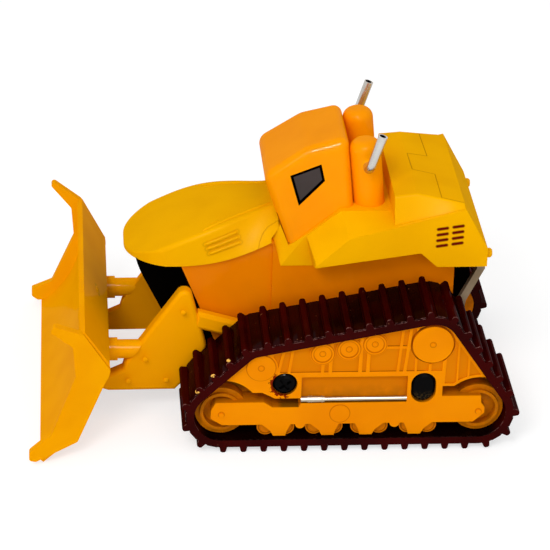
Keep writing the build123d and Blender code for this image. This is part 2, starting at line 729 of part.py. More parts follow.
# ---- arms: gusset plate, tube to the blade, and the bar back to the pivot -----------------------------
gusset_apex = (39.5, 37.3)       # sharp, before it is rounded
gusset_front = (board_ridge - 4.0, 14.8)        # foot of the sloping front edge
gusset = [
    gusset_apex, gusset_front, (board_ridge - 3.4, 12.7), (board_ridge, 11.1), (board_ridge + 6.0, 11.1),
    (board_ridge + 7.0, 8.6), (board_ridge, 6.4), (42.4, 6.5), (35.6, 14.0), (34.7, 19.0),
]
apex_round = 2.0
gusset_t = 3.3
gusset_edge = 1.1
bar_root = (37.5, 26.4)
bar_w = 4.6
bar_edge = 0.9
tube_z = 18.0
tube_r = 2.4
collar = (2.9, 2.2)              # radius, and how far it reaches back from the ridge
for name, sign in sides:
    with BuildPart() as gusset_plate:
        with BuildSketch(side(sign, arm_out)) as shape:
            outline(gusset)
            fillet(shape.vertices().sort_by_distance(gusset_apex)[0], apex_round)
        extrude(amount=sign * gusset_t)
        outer = gusset_plate.faces().sort_by(Axis.Y)[-1 if sign > 0 else 0]
        fillet(outer.edges(), gusset_edge)
    with BuildPart() as bar:
        ahead = bar_root[0] - pivot[0]
        up = bar_root[1] - pivot[1]
        with BuildSketch(side(sign, arm_out)):
            with Locations(pivot):
                Circle(eye_r)
            middle = (pivot[0] + ahead / 2, pivot[1] + up / 2, 0)
            with Locations(Location(middle, (0, 0, degrees(atan2(up, ahead))))):
                Rectangle(hypot(ahead, up), bar_w)
        extrude(amount=sign * arm_t)
        outer = bar.faces().sort_by(Axis.Y)[-1 if sign > 0 else 0]
        chamfer(outer.edges(), bar_edge)
        with BuildSketch(side(sign, arm_out)):
            with Locations(pivot):
                Circle(pin_r + pin_play)
        extrude(amount=sign * arm_t, mode=Mode.SUBTRACT)
    with BuildPart() as tube:
        tube_start = Plane(origin=(mid + gusset_apex[0], sign * (arm_out - arm_t / 2), tube_z), z_dir=(1, 0, 0))
        with BuildSketch(tube_start):
            Circle(tube_r)
        extrude(amount=board_ridge + 5 - gusset_apex[0])
        with BuildSketch(tube_start.offset(board_ridge - collar[1] - gusset_apex[0])):
            Circle(collar[0])
        extrude(amount=collar[1] + 5)
        # starts just behind the gusset's sloping front edge
        split(bisect_by=Plane(
            origin=(mid + gusset_front[0] - 0.6, 0, gusset_front[1]),
            z_dir=(gusset_apex[1] - gusset_front[1], 0, gusset_front[0] - gusset_apex[0]),
        ), keep=Keep.TOP)
    with BuildPart() as arm:
        add(gusset_plate.part)
        add(bar.part)
        add(tube.part)
        add(blade.part, mode=Mode.SUBTRACT)
    write(arm.part, f"blade_arm_{name}")
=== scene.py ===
"""Looks of the toy crawler dozer: its finishes, its small trim, and the camera and light."""

import json
import math

import bmesh
import bpy
from mathutils import Matrix, Vector
from mathutils.bvhtree import BVHTree

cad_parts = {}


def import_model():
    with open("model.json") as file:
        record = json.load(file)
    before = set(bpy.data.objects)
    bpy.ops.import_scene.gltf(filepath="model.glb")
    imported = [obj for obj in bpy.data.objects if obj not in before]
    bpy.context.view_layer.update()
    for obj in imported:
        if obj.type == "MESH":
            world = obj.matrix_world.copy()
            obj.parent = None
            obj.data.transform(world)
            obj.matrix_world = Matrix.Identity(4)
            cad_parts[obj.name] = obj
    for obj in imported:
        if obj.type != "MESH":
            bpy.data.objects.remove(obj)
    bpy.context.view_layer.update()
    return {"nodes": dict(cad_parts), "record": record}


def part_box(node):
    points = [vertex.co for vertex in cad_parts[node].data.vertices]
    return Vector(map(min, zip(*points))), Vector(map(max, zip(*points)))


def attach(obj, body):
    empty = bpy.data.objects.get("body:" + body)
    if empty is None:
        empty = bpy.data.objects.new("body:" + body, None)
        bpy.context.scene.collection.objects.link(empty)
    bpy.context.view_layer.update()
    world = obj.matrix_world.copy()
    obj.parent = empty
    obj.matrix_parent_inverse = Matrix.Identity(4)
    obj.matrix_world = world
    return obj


MM = 0.001

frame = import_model()
NODES = frame["nodes"]


# ---- sizes, in millimetres; side-view points are (ahead of the track centre, height) ------------
# the track's wheels, belt and lugs; a wheel's radius is taken over the belt
IDLER_SPREAD = 63.6
IDLER_R = 8.6
LUG_H = 1.5
LUG_COUNT = 38
BELT_T = 1.9
FRONT_IDLER = (IDLER_SPREAD / 2, IDLER_R + LUG_H)
TOP_ROLLER = (22.3, 23.2)
TOP_ROLLER_R = 5.7
SPROCKET = (-19.5, 29.2)
SPROCKET_R = 8.0
REAR_IDLER = (-IDLER_SPREAD / 2, IDLER_R + LUG_H)
WHEELS = (
    (FRONT_IDLER, IDLER_R),
    (TOP_ROLLER, TOP_ROLLER_R),
    (SPROCKET, SPROCKET_R),
    (REAR_IDLER, IDLER_R),
)
TRACK_LOW, TRACK_HIGH = (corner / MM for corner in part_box("track_left"))
MID = TRACK_LOW.x + IDLER_SPREAD / 2 + IDLER_R + LUG_H      # the track centre
TRACK_MIDDLE_Y = (TRACK_LOW.y + TRACK_HIGH.y) / 2
TRACK_W = TRACK_HIGH.y - TRACK_LOW.y

# the track frame's relief inside the belt
FRAME_FACE = TRACK_HIGH.y - 1.2      # outer face of its beam and plate
PROUD = 0.25                         # its discs stand this far over that face
CARRIERS = ((7.4, 26.9), (1.0, 28.1), (-5.3, 29.4))
BEAM_DISC = (2.6, 10.0)
BEAM_DISC_R = 2.5
ROLLER_PAIRS = (18.3, 6.3, -4.9, -17.0)
ROLLER_STEP = 2.45                   # from the middle of a pair to each bottom roller
ROLLER_Z = 5.9
ROLLERS = [
    (middle + step, ROLLER_Z) for middle in ROLLER_PAIRS for step in (ROLLER_STEP, -ROLLER_STEP)
]

# the front case screws and the long rear plugs
SCREW_FACE = FRAME_FACE - 0.8
SCREW_FRONT = (16.4, 18.5)
SCREW_R = 2.95
PLUG_REAR = (-17.8, 17.0)
PLUG_H = 8.1

# raised trim, from end to end: the bonnet's lowest and highest ribs in side view; the rail, the
# catch and the ridge from above (ahead, y); and the mark on the blade's back (y, height)
LOW_RIB = ((34.2, 43.6), (26.5, 46.1))
HIGH_RIB = ((35.2, 46.1), (27.3, 48.5))
RAIL = ((35.9, 12.7), (18.9, 5.6))
CATCH = ((34.3, 10.6), (31.8, 9.9))
FENDER_RIDGE = ((-11.0, 21.45), (-27.0, 21.75))
MOULD_MARK = ((5.0, 27.6), (2.4, 28.4))

# the printed vents: the front dash of the lowest row, the steps to its neighbours, and a dash's run
VENT = (-21.2, 48.9)
VENT_BACK = (-3.8, 0.57)
VENT_UP = 1.55
VENT_RUN = (-2.2, 0.33)
VENT_ROWS = 4
FENDER_SIDE = 21.9                   # just inside the fenders' side faces


def between(start, end, share):
    """A point part of the way from one to another."""
    return [a + (b - a) * share for a, b in zip(start, end)]


RIBS = [
    [between(low, high, share) for low, high in zip(LOW_RIB, HIGH_RIB)] for share in (0.0, 0.5, 1.0)
]


# ---- shader maths -------------------------------------------------------------------------------
class Value:
    """A number or colour that varies over a surface: an output socket with the usual operators."""

    def __init__(self, tree, socket):
        self.tree = tree
        self.socket = socket

    def _math(self, operation, *terms):
        return self.tree.add("ShaderNodeMath", {"operation": operation}, *terms)

    def __add__(self, other):
        return self._math("ADD", self, other)

    __radd__ = __add__

    def __sub__(self, other):
        return self._math("SUBTRACT", self, other)

    def __rsub__(self, other):
        return self._math("SUBTRACT", other, self)

    def __mul__(self, other):
        return self._math("MULTIPLY", self, other)

    __rmul__ = __mul__

    def __abs__(self):
        return self._math("ABSOLUTE", self)

    def hypot(self, other):
        return self._math("SQRT", self * self + other * other)

    def clamp(self):
        """Kept between 0 and 1."""
        return self.tree.add("ShaderNodeClamp", {}, self)

    def least(self, other):
        return self._math("MINIMUM", self, other)

    def most(self, other):
        return self._math("MAXIMUM", self, other)

    def smooth(self, low, high):
        """0 below low and 1 above high, with a soft ramp between; reversed if low is the higher."""
        if low > high:
            return 1 - self.smooth(high, low)
        return self.tree.add(
            "ShaderNodeMapRange", {"interpolation_type": "SMOOTHSTEP"}, self, low, high, 0.0, 1.0,
        )


class Nodes:
    """A node tree, with one method that adds nodes to it."""

    def __init__(self, tree):
        self.nodes = tree.nodes
        self.links = tree.links

    def put(self, socket, value):
        """Links a value, or sets a plain number, colour or vector, on an input socket."""
        if isinstance(value, Value):
            self.links.new(value.socket, socket)
        elif value is not None:
            socket.default_value = value

    def add(self, kind, settings=None, *inputs, out=0, **named):
        """Adds a node, sets it, fills its inputs in order or by name, and returns one output."""
        node = self.nodes.new(kind)
        for key, value in (settings or {}).items():
            setattr(node, key, value)
        for socket, value in zip(node.inputs, inputs):
            self.put(socket, value)
        for key, value in named.items():
            self.put(node.inputs[key], value)
        return Value(self, node.outputs[out])

    def seen(self):
        """1 for what the camera sees straight on, in a reflection or through glass."""
        straight, glossy, through = (
            self.add("ShaderNodeLightPath", out=f"Is {kind} Ray")
            for kind in ("Camera", "Glossy", "Transmission")
        )
        return straight.most(glossy).most(through)


class Finish(Nodes):
    """A material with its principled shader, and the methods that build its pattern."""

    def __init__(self, name, roughness, metallic=0.0, coat=0.0, coat_roughness=0.08):
        self.material = bpy.data.materials.new(name)
        self.material.use_nodes = True
        super().__init__(self.material.node_tree)
        self.shader = self.nodes["Principled BSDF"]
        self.set("Roughness", roughness)
        self.set("Metallic", metallic)
        self.set("Coat Weight", coat)
        self.set("Coat Roughness", coat_roughness)
        self.set("Specular IOR Level", 0.5 * metallic)
        self.places = {}

    def set(self, name, value):
        self.put(self.shader.inputs[name], value)

    def where(self):
        """The point on the piece, in its own coordinates."""
        if "point" not in self.places:
            self.places["point"] = self.add("ShaderNodeTexCoord", out="Object")
        return self.places["point"]

    def axis(self, name):
        """One coordinate in millimetres; X is counted from the track centre."""
        if name not in self.places:
            number = self.add("ShaderNodeSeparateXYZ", {}, self.where(), out=name) * (1 / MM)
            self.places[name] = number - MID if name == "X" else number
        return self.places[name]

    def facing(self, name):
        """One component of the surface's direction."""
        normal = self.add("ShaderNodeNewGeometry", out="Normal")
        return self.add("ShaderNodeSeparateXYZ", {}, normal, out=name)

    def noise(self, grain, detail=3.0, roughness=0.5):
        """Cloudy noise with features of about grain millimetres."""
        return self.add(
            "ShaderNodeTexNoise", {"noise_dimensions": "3D"},
            Vector=self.where(), Scale=1 / (grain * MM), Detail=detail, Roughness=roughness,
        )

    def blend(self, mask, low, high):
        """Mixes two colours, which a Mix node takes on its seventh and eighth sockets."""
        low, high = (tint if isinstance(tint, Value) else (*tint, 1) for tint in (low, high))
        unused = [None] * 5
        return self.add("ShaderNodeMix", {"data_type": "RGBA"}, mask, *unused, low, high, out=2)

    def ring(self, places, radius, width):
        """A thin ring round each side-view place."""
        mask = 0.0
        for ahead, height in places:
            away = (self.axis("X") - ahead).hypot(self.axis("Z") - height)
            mask = abs(away - radius).smooth(width, width / 2) + mask
        return mask

    def stroke(self, across, up, points, width):
        """A line through points on the plane of two axes, width to each side of its middle."""
        nearest = None
        for (x, y), (next_x, next_y) in zip(points, points[1:]):
            run = (next_x - x, next_y - y)
            square = run[0] ** 2 + run[1] ** 2
            from_x = self.axis(across) - x
            from_y = self.axis(up) - y
            along = (from_x * (run[0] / square) + from_y * (run[1] / square)).clamp()
            away = (from_x - along * run[0]).hypot(from_y - along * run[1])
            nearest = nearest.least(away) if nearest else away
        return nearest.smooth(width, width / 3)


# ---- finishes -----------------------------------------------------------------------------------
BODY_GRAIN = 0.045                   # depth of the body paint's peel
DULL_COAT = 0.35                     # roughness of its coat

# colours of marks and wear, and of painted shade and highlights
PAINTED_GROOVE_SHADE = (0.42, 0.15, 0.0)
VENT_RED = (0.13, 0.002, 0.001)
PAINTED_JOINT_SHADE = (0.25, 0.02, 0.0)
BLEMISH_BROWN = (0.42, 0.20, 0.0)
PAINTED_SUNK_SHADE = (0.62, 0.165, 0.0)
PAINTED_HOLLOW_SHADE = (0.10, 0.055, 0.002)
DISC_SHADOW = (0.45, 0.08, 0.0)
ROLLER_SHADOW = (0.25, 0.05, 0.0)
SPLASH_RED = (0.20, 0.012, 0.0)
STRAY_PAINT = (0.30, 0.12, 0.06)
PAINTED_RIM_HIGHLIGHT = (0.22, 0.10, 0.09)
LOOP_SHADE_AND_DIRT = (0.001, 0.0003, 0.0003)
TARNISH = (0.32, 0.20, 0.09)
PLUG_SPECKLE_BROWN = (0.075, 0.045, 0.012)


class Moulded(Finish):
    """Moulded or sprayed surface: slow colour drift, fine orange peel, and small rubs.
    Marks are laid over it one by one, and done() joins it all up."""

    def __init__(self, name, colour, shade, roughness, peel=0.012, **settings):
        super().__init__(name, roughness, **settings)
        self.colour = self.blend(self.noise(14, 2).smooth(0.35, 0.7), colour, shade)
        rubs = self.noise(3.5, 4, 0.6).smooth(0.5, 0.8)
        self.gloss = rubs * 0.12 + roughness
        self.relief = self.noise(0.8, 2) * peel

    def paint(self, mask, colour):
        self.colour = self.blend(mask, self.colour, colour)

    def carve(self, mask, depth):
        """Cuts a groove, and paints shade into it."""
        self.relief = self.relief - mask * depth
        # painted shade in the groove
        self.paint(mask * 0.6, PAINTED_GROOVE_SHADE)

    def done(self):
        self.set("Base Color", self.colour)
        self.set("Roughness", self.gloss)
        bump = self.add("ShaderNodeBump", Height=self.relief, Distance=MM, Strength=1.0)
        self.set("Normal", bump)
        return self.material


def bonnet_yellow():
    """The bonnet has a hatch line on each side, and painted shade round the feet of its ribs."""
    finish = Moulded(
        "bonnet yellow", (0.86, 0.405, 0.0), (0.81, 0.37, 0.0), roughness=0.42,
        peel=BODY_GRAIN, coat=0.02, coat_roughness=DULL_COAT,
    )
    side_face = finish.facing("Z").smooth(0.85, 0.8)
    hatch = [(22.2, 44.6), (21.8, 46.2), (21.0, 47.9), (19.8, 49.2), (17.2, 50.6)]
    # the hatch line's groove is darkened with painted shade
    finish.carve(finish.stroke("X", "Z", hatch, 0.14) * side_face * 0.6, depth=0.12)
    # a band of painted shade round the feet of the ribs
    feet = 0.0
    for rib in RIBS:
        feet = finish.stroke("X", "Z", rib, 0.95) - finish.stroke("X", "Z", rib, 0.55) + feet
    finish.paint(feet.clamp() * side_face * 0.45, PAINTED_GROOVE_SHADE)
    return finish.done()


def cover_yellow():
    """The cover has a stepped panel line on its roof, and printed vents on its sides."""
    finish = Moulded(
        "cover yellow", (0.89, 0.42, 0.0), (0.84, 0.385, 0.0), roughness=0.42,
        peel=BODY_GRAIN, coat=0.02, coat_roughness=DULL_COAT,
    )
    roof = finish.axis("Z").smooth(59.0, 59.2)
    seam = [
        (-21.0, -18.0), (-21.4, -5.0), (-16.3, -5.0), (-16.5, 4.2),
        (-22.1, 5.2), (-22.1, 18.3), (-27.4, 19.4),
    ]
    # the panel line's groove is darkened with painted shade
    finish.carve(finish.stroke("X", "Y", seam, 0.16) * roof, depth=0.12)
    side_face = abs(finish.axis("Y")).smooth(FENDER_SIDE, FENDER_SIDE + 0.05)
    vents = 0.0
    for row in range(VENT_ROWS):
        for column in (0, 1):
            ahead = VENT[0] + VENT_BACK[0] * column
            height = VENT[1] + VENT_BACK[1] * column + VENT_UP * row
            dash = [(ahead, height), (ahead + VENT_RUN[0], height + VENT_RUN[1])]
            vents = finish.stroke("X", "Z", dash, 0.62) + vents
    finish.paint(vents * side_face, VENT_RED)
    return finish.done()


def cab_orange():
    """The cab has painted shade along the joint where it meets the bonnet."""
    finish = Moulded(
        "cab orange", (0.95, 0.31, 0.0), (0.91, 0.285, 0.0), roughness=0.26, coat=0.09,
    )
    joint = [(17.6, 53.0), (15.1, 45.9), (14.6, 44.5)]
    # painted shade in the joint with the bonnet
    finish.paint(finish.stroke("X", "Z", joint, 0.5) * 0.8, PAINTED_JOINT_SHADE)
    return finish.done()


def blade_yellow():
    """The blade has a brown blemish round the mould mark on its back."""
    finish = Moulded(
        "blade yellow", (0.92, 0.37, 0.0), (0.88, 0.335, 0.0), roughness=0.36, coat=0.03,
    )
    back = finish.facing("X").smooth(-0.1, -0.5)
    blemish = finish.stroke("Y", "Z", MOULD_MARK, 1.1) * finish.noise(1.2, 3).smooth(0.35, 0.6)
    finish.paint(blemish * back * 0.6, BLEMISH_BROWN)
    return finish.done()


def chassis_orange():
    finish = Moulded(
        "chassis orange", (0.80, 0.205, 0.0), (0.74, 0.18, 0.0), roughness=0.34, coat=0.08,
    )
    return finish.done()


def frame_orange():
    """The track frames' relief has painted shadow lines round its discs, and painted shade in its
    hollows.
    """
    finish = Moulded(
        "frame orange", (0.88, 0.27, 0.0), (0.82, 0.235, 0.0), roughness=0.42, coat=0.05,
    )
    depth = FRAME_FACE - abs(finish.axis("Y"))
    near_face = depth.smooth(0.9, 0.7)
    # panels sunk behind the face are painted darker and redder, as shade in the recesses
    finish.paint(depth.smooth(0.2, 0.6) * 0.9, PAINTED_SUNK_SHADE)

    # painted shade lies on ledges, less at the ends of the frame, and clings in clouds inside and
    # low down
    cloud = finish.noise(2.2, 3)
    ends = abs(finish.axis("X")).smooth(16.5, 18.5)
    ledges = finish.facing("Z").smooth(0.5, 0.9) * depth.smooth(0.05, 0.3) * depth.smooth(4.5, 3.5)
    inside = depth.smooth(4.0, 5.5) * depth.smooth(9.0, 7.0) * cloud.smooth(0.25, 0.6)
    low_down = finish.axis("Z").smooth(19.0, 13.5)
    low = depth.smooth(1.0, 1.3) * low_down * cloud.smooth(0.2, 0.7) * 0.5
    finish.paint((ledges * (1 - ends * 0.75)).most(inside).most(low) * 0.75, PAINTED_HOLLOW_SHADE)

    # shadow lines round the discs, their dished faces and their hubs
    hubs = [*CARRIERS, FRONT_IDLER, TOP_ROLLER, SPROCKET, REAR_IDLER]
    lines = 0.0
    for places, radius, width in (
        (CARRIERS, 2.85, 0.18), (CARRIERS, 2.2, 0.18), ([TOP_ROLLER], 3.6, 0.18),
        ([SPROCKET], 5.15, 0.18), (hubs, 0.75, 0.16), ([BEAM_DISC], BEAM_DISC_R, 0.16),
    ):
        lines = finish.ring(places, radius, width) + lines
    finish.paint((lines * near_face).clamp() * 0.55, DISC_SHADOW)
    roller_face = depth.smooth(0.7, 0.9) * depth.smooth(1.3, 1.1)
    roller_lines = finish.ring(ROLLERS, 1.75, 0.22).clamp()
    finish.paint(roller_lines * roller_face * 0.7, ROLLER_SHADOW)

    # a ragged splash of dark red paint, ahead of the front screw and below it
    from_x = finish.axis("X") - SCREW_FRONT[0]
    from_z = finish.axis("Z") - SCREW_FRONT[1]
    ragged = finish.noise(0.7, 2).smooth(0.3, 0.7) * 1.5 + 2.9
    splash = (ragged - from_x.hypot(from_z)).smooth(0.0, 0.15)
    ahead_of_screw = (from_x - 0.5 * from_z).smooth(0.0, 1.5)
    finish.paint(splash * ahead_of_screw * near_face, SPLASH_RED)
    return finish.done()


def flecks_and_rim_highlight(finish, rarity, strength):
    """Marks a track's plastic with flecks of paint, and paints a pale highlight along its outer
    rims.
    """
    flecks = finish.noise(0.9, 1).smooth(rarity, 0.78) * finish.noise(6, 1).smooth(0.5, 0.6)
    finish.paint(flecks * strength, STRAY_PAINT)
    outer = TRACK_HIGH.y - 0.5
    rims = abs(finish.axis("Y")).smooth(outer, outer + 0.1)
    rims = rims * abs(finish.facing("Y")).smooth(0.97, 0.85)
    # a painted highlight along the outer rims
    finish.paint(rims * finish.noise(0.7, 2).smooth(0.42, 0.62) * 0.8, PAINTED_RIM_HIGHLIGHT)


def track_maroon():
    """Glossy plastic, with painted shade and dirt on the bottom run inside the loop."""
    finish = Moulded(
        "track maroon", (0.040, 0.0008, 0.0006), (0.020, 0.0005, 0.0004), roughness=0.15,
        peel=0.02, coat=0.05,
    )
    flecks_and_rim_highlight(finish, rarity=0.74, strength=0.5)
    # painted shade, with dirt, on the bottom run inside the loop
    inside = finish.facing("Z").smooth(0.6, 0.9) * finish.axis("Z").smooth(6.5, 5.0)
    finish.paint(inside * 0.9, LOOP_SHADE_AND_DIRT)
    return finish.done()


def plate_maroon():
    """The track's plastic between the lugs, painted darker than the lugs as shade."""
    # the plates' colours are darker than the track's, as painted shade between the lugs
    finish = Moulded(
        "plate maroon", (0.022, 0.0005, 0.0004), (0.006, 0.0002, 0.0002), roughness=0.15,
        peel=0.03, coat=0.08,
    )
    flecks_and_rim_highlight(finish, rarity=0.72, strength=0.6)
    return finish.done()


def bright_plating():
    """Plated metal, dulled and browned where it is handled."""
    finish = Moulded(
        "bright plating", (0.60, 0.59, 0.56), (0.50, 0.48, 0.44), roughness=0.24,
        peel=0.008, metallic=1.0,
    )
    finish.paint(finish.noise(4, 4, 0.65).smooth(0.55, 0.72) * 0.7, TARNISH)
    return finish.done()


def rod_silver():
    finish = Moulded(
        "rod silver", (0.48, 0.43, 0.34), (0.40, 0.35, 0.26), roughness=0.36,
        peel=0.02, metallic=0.8,
    )
    return finish.done()


def screw_black():
    """Thick black paint, with a rougher olive-brown speckle on the lower part of the rear plugs."""
    finish = Moulded(
        "screw black", (0.0012, 0.0012, 0.0015), (0.003, 0.0025, 0.0025), roughness=0.12,
        peel=0.03, coat=0.06,
    )
    low_down = finish.axis("Z").smooth(PLUG_REAR[1] - 0.5, PLUG_REAR[1] - 3.0)
    at_rear = finish.axis("X").smooth(-8, -10)
    speckle = low_down * at_rear * finish.noise(0.5, 3, 0.7).smooth(0.45, 0.62)
    finish.paint(speckle * 0.8, PLUG_SPECKLE_BROWN)
    finish.gloss = speckle * 0.5 + finish.gloss
    return finish.done()


def window_grey():
    finish = Moulded(
        "window grey", (0.055, 0.042, 0.040), (0.047, 0.036, 0.034), roughness=0.35,
        peel=0.004, coat=0.15,
    )
    return finish.done()


def satin_black():
    finish = Moulded(
        "satin black", (0.0004, 0.0003, 0.0002), (0.001, 0.0006, 0.0004), roughness=0.38,
    )
    return finish.done()


def strut_metal():
    finish = Moulded(
        "strut metal", (0.34, 0.26, 0.17), (0.24, 0.17, 0.10), roughness=0.42, metallic=0.6,
    )
    return finish.done()


def chip_yellow():
    finish = Moulded("chip yellow", (0.86, 0.48, 0.10), (0.80, 0.36, 0.04), roughness=0.5)
    return finish.done()


BONNET = bonnet_yellow()
COVER = cover_yellow()
BLADE = blade_yellow()
TRACK_FRAME = frame_orange()
SHOE_PLATE = plate_maroon()
ROD = rod_silver()
SCREW = screw_black()
BLACK = satin_black()
CHIP = chip_yellow()
BY_SLOT = {
    "yellow_plastic": BONNET,
    "blade_yellow": BLADE,
    "cab_orange": cab_orange(),
    "frame_orange": chassis_orange(),
    "track_plastic": track_maroon(),
    "chrome": bright_plating(),
    "screw_black": SCREW,
    "window_grey": window_grey(),
    "black_plastic": BLACK,
    "strut_metal": strut_metal(),
}
BY_NODE = {
    "rear_cover": COVER,
    "track_frame_left": TRACK_FRAME,
    "track_frame_right": TRACK_FRAME,
    "tension_rod_left": ROD,
    "tension_rod_right": ROD,
}
for part in frame["record"]["subparts"]:
    mesh = NODES[part["node"]].data
    mesh.materials.clear()
    mesh.materials.append(BY_NODE.get(part["node"], BY_SLOT[part["material_slot"]]))


# ---- making pieces ------------------------------------------------------------------------------
def at(ahead, y, height):
    """A place in the toy's frame, in millimetres."""
    return Vector((MID + ahead, y, height))


def finished(name, shape, material, body, both_sides=True):
    """Turns a shape in millimetres into a piece that rides on a body, with its mirror image."""
    if both_sides:
        everything = shape.verts[:] + shape.edges[:] + shape.faces[:]
        bmesh.ops.mirror(shape, geom=everything, matrix=Matrix(), merge_dist=0, axis="Y")
    bmesh.ops.scale(shape, vec=(MM, MM, MM), verts=shape.verts)
    bmesh.ops.recalc_face_normals(shape, faces=shape.faces)
    mesh = bpy.data.meshes.new(name)
    shape.to_mesh(mesh)
    shape.free()
    mesh.materials.append(material)
    mesh.shade_smooth()
    mesh.set_sharp_from_angle(angle=math.radians(40))
    piece = bpy.data.objects.new(name, mesh)
    bpy.context.scene.collection.objects.link(piece)
    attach(piece, body)


# where a view of a surface starts: beside the toy, above it, and behind the blade
CLEAR_SIDE = 60
CLEAR_TOP = 90
BEHIND_BLADE = 40


class Skin:
    """A CAD node's surface, to lay trim on. Each view gives the place that it meets, in
    millimetres, and the surface's direction there."""

    def __init__(self, node):
        mesh = NODES[node].data
        self.tree = BVHTree.FromPolygons(
            [vert.co for vert in mesh.vertices], [face.vertices for face in mesh.polygons],
        )

    def touch(self, start, direction):
        place, normal, _, _ = self.tree.ray_cast(start * MM, Vector(direction))
        return place / MM, normal

    def from_side(self, ahead, height):
        return self.touch(at(ahead, CLEAR_SIDE, height), (0, -1, 0))

    def from_above(self, ahead, y):
        return self.touch(at(ahead, y, CLEAR_TOP), (0, 0, -1))

    def from_behind(self, y, height):
        return self.touch(at(BEHIND_BLADE, y, height), (1, 0, 0))


def ring_edges(verts):
    """The edges that join these verts to each other."""
    own = set(verts)
    edges = (edge for vert in verts for edge in vert.link_edges if edge.other_vert(vert) in own)
    return list(dict.fromkeys(edges))


def soften(shape, verts, edge, segments=2):
    """Bevels every edge between these verts."""
    bmesh.ops.bevel(
        shape, geom=ring_edges(verts), offset=edge, segments=segments,
        affect="EDGES", profile=0.5, material=-1,
    )


# share of the way along a bead, and its fullness there
BEAD_STEPS = (
    (0.0, 0.35), (0.02, 0.75), (0.06, 1.0), (0.35, 1.0),
    (0.65, 1.0), (0.94, 1.0), (0.98, 0.75), (1.0, 0.35),
)


def bead(shape, view, ends, half_width, rise):
    """A rounded bar that lies half sunk in a surface, between two points of one view of it."""
    spots = [view(*between(*ends, share)) for share, _ in BEAD_STEPS]
    last = len(spots) - 1
    before = None
    for number, ((place, out), (_, fullness)) in enumerate(zip(spots, BEAD_STEPS)):
        ahead = (spots[min(number + 1, last)][0] - spots[max(number - 1, 0)][0]).normalized()
        across = out.cross(ahead).normalized()
        turn = Matrix((across, ahead.cross(across), ahead)).transposed().to_4x4()
        size = Matrix.Diagonal((half_width * fullness, rise * fullness, 1, 1))
        ring = bmesh.ops.create_circle(
            shape, cap_ends=number in (0, last), segments=10, radius=1,
            matrix=Matrix.Translation(place) @ turn @ size,
        )["verts"]
        if before:
            bmesh.ops.bridge_loops(shape, edges=ring_edges(before) + ring_edges(ring))
        before = ring


def dome(shape, place, radii, segments=24):
    """An ellipsoid, half sunk where it stands."""
    bmesh.ops.create_uvsphere(
        shape, u_segments=segments, v_segments=segments // 2, radius=1,
        matrix=Matrix.Translation(place) @ Matrix.Diagonal((*radii, 1)),
    )


def pin(shape, place, radius, length, edge, segments=24, bevels=2):
    """A short round bar along the Z of place, with its middle there and both ends bevelled."""
    verts = bmesh.ops.create_cone(
        shape, cap_ends=True, segments=segments, radius1=radius, radius2=radius, depth=length,
        matrix=place,
    )["verts"]
    soften(shape, verts, edge, bevels)


def cross(cutter, place, axis, turn, bar):
    """Two bars crossed about an axis, which cut a screw's recess."""
    for degrees in (turn, turn + 90):
        turned = Matrix.Rotation(math.radians(degrees), 4, axis)
        bmesh.ops.create_cube(
            cutter, size=1, matrix=Matrix.Translation(place) @ turned @ Matrix.Diagonal((*bar, 1)),
        )


def carved(shape, cutter):
    """Cuts one shape out of another with a boolean, and gives the result as a new shape."""
    holders = []
    for form in (shape, cutter):
        mesh = bpy.data.meshes.new("form")
        form.to_mesh(mesh)
        form.free()
        holders.append(bpy.data.objects.new("form", mesh))
        bpy.context.scene.collection.objects.link(holders[-1])
    cut = holders[0].modifiers.new("cut", "BOOLEAN")
    cut.operation = "DIFFERENCE"
    cut.use_self = True
    cut.object = holders[1]
    result = bmesh.new()
    result.from_mesh(holders[0].evaluated_get(bpy.context.evaluated_depsgraph_get()).data)
    for holder in holders:
        mesh = holder.data
        bpy.data.objects.remove(holder)
        bpy.data.meshes.remove(mesh)
    return result


# ---- trim on the belt ---------------------------------------------------------------------------
def belt_runs():
    """The belt from its rearmost point: for each run, the length of its middle, and the place on
    its outside a distance along it. A place is (ahead, height, angle of its outward direction)."""
    straights = []
    for index, ((ahead, height), radius) in enumerate(WHEELS):
        (next_ahead, next_height), next_radius = WHEELS[(index + 1) % len(WHEELS)]
        gap = (next_ahead - ahead, next_height - height)
        out = math.atan2(gap[1], gap[0]) - math.acos((radius - next_radius) / math.hypot(*gap))
        length = math.sqrt(gap[0] ** 2 + gap[1] ** 2 - (radius - next_radius) ** 2)
        straights.append((out, length))

    def arc(index, start, end):
        (ahead, height), radius = WHEELS[index]
        sweep = (end - start) % (2 * math.pi)
        middle = radius - BELT_T / 2

        def place(along):
            out = start + along / middle
            return ahead + radius * math.cos(out), height + radius * math.sin(out), out

        return sweep * middle, place

    def straight(index):
        (ahead, height), radius = WHEELS[index]
        out, length = straights[index]

        def place(along):
            return (
                ahead + radius * math.cos(out) - along * math.sin(out),
                height + radius * math.sin(out) + along * math.cos(out),
                out,
            )

        return length, place

    rearmost = math.pi
    last = len(WHEELS) - 1
    runs = [arc(last, rearmost, straights[last][0]), straight(last)]
    for index in range(last):
        runs += [arc(index, straights[index - 1][0], straights[index][0]), straight(index)]
    return runs + [arc(last, straights[last - 1][0], rearmost)]


RUNS = belt_runs()
BELT_LENGTH = sum(length for length, _ in RUNS)


def on_belt(along):
    """The place a distance along the belt."""
    runs = iter(RUNS)
    length, place = next(runs)
    while along > length:
        along -= length
        length, place = next(runs)
    return place(along)


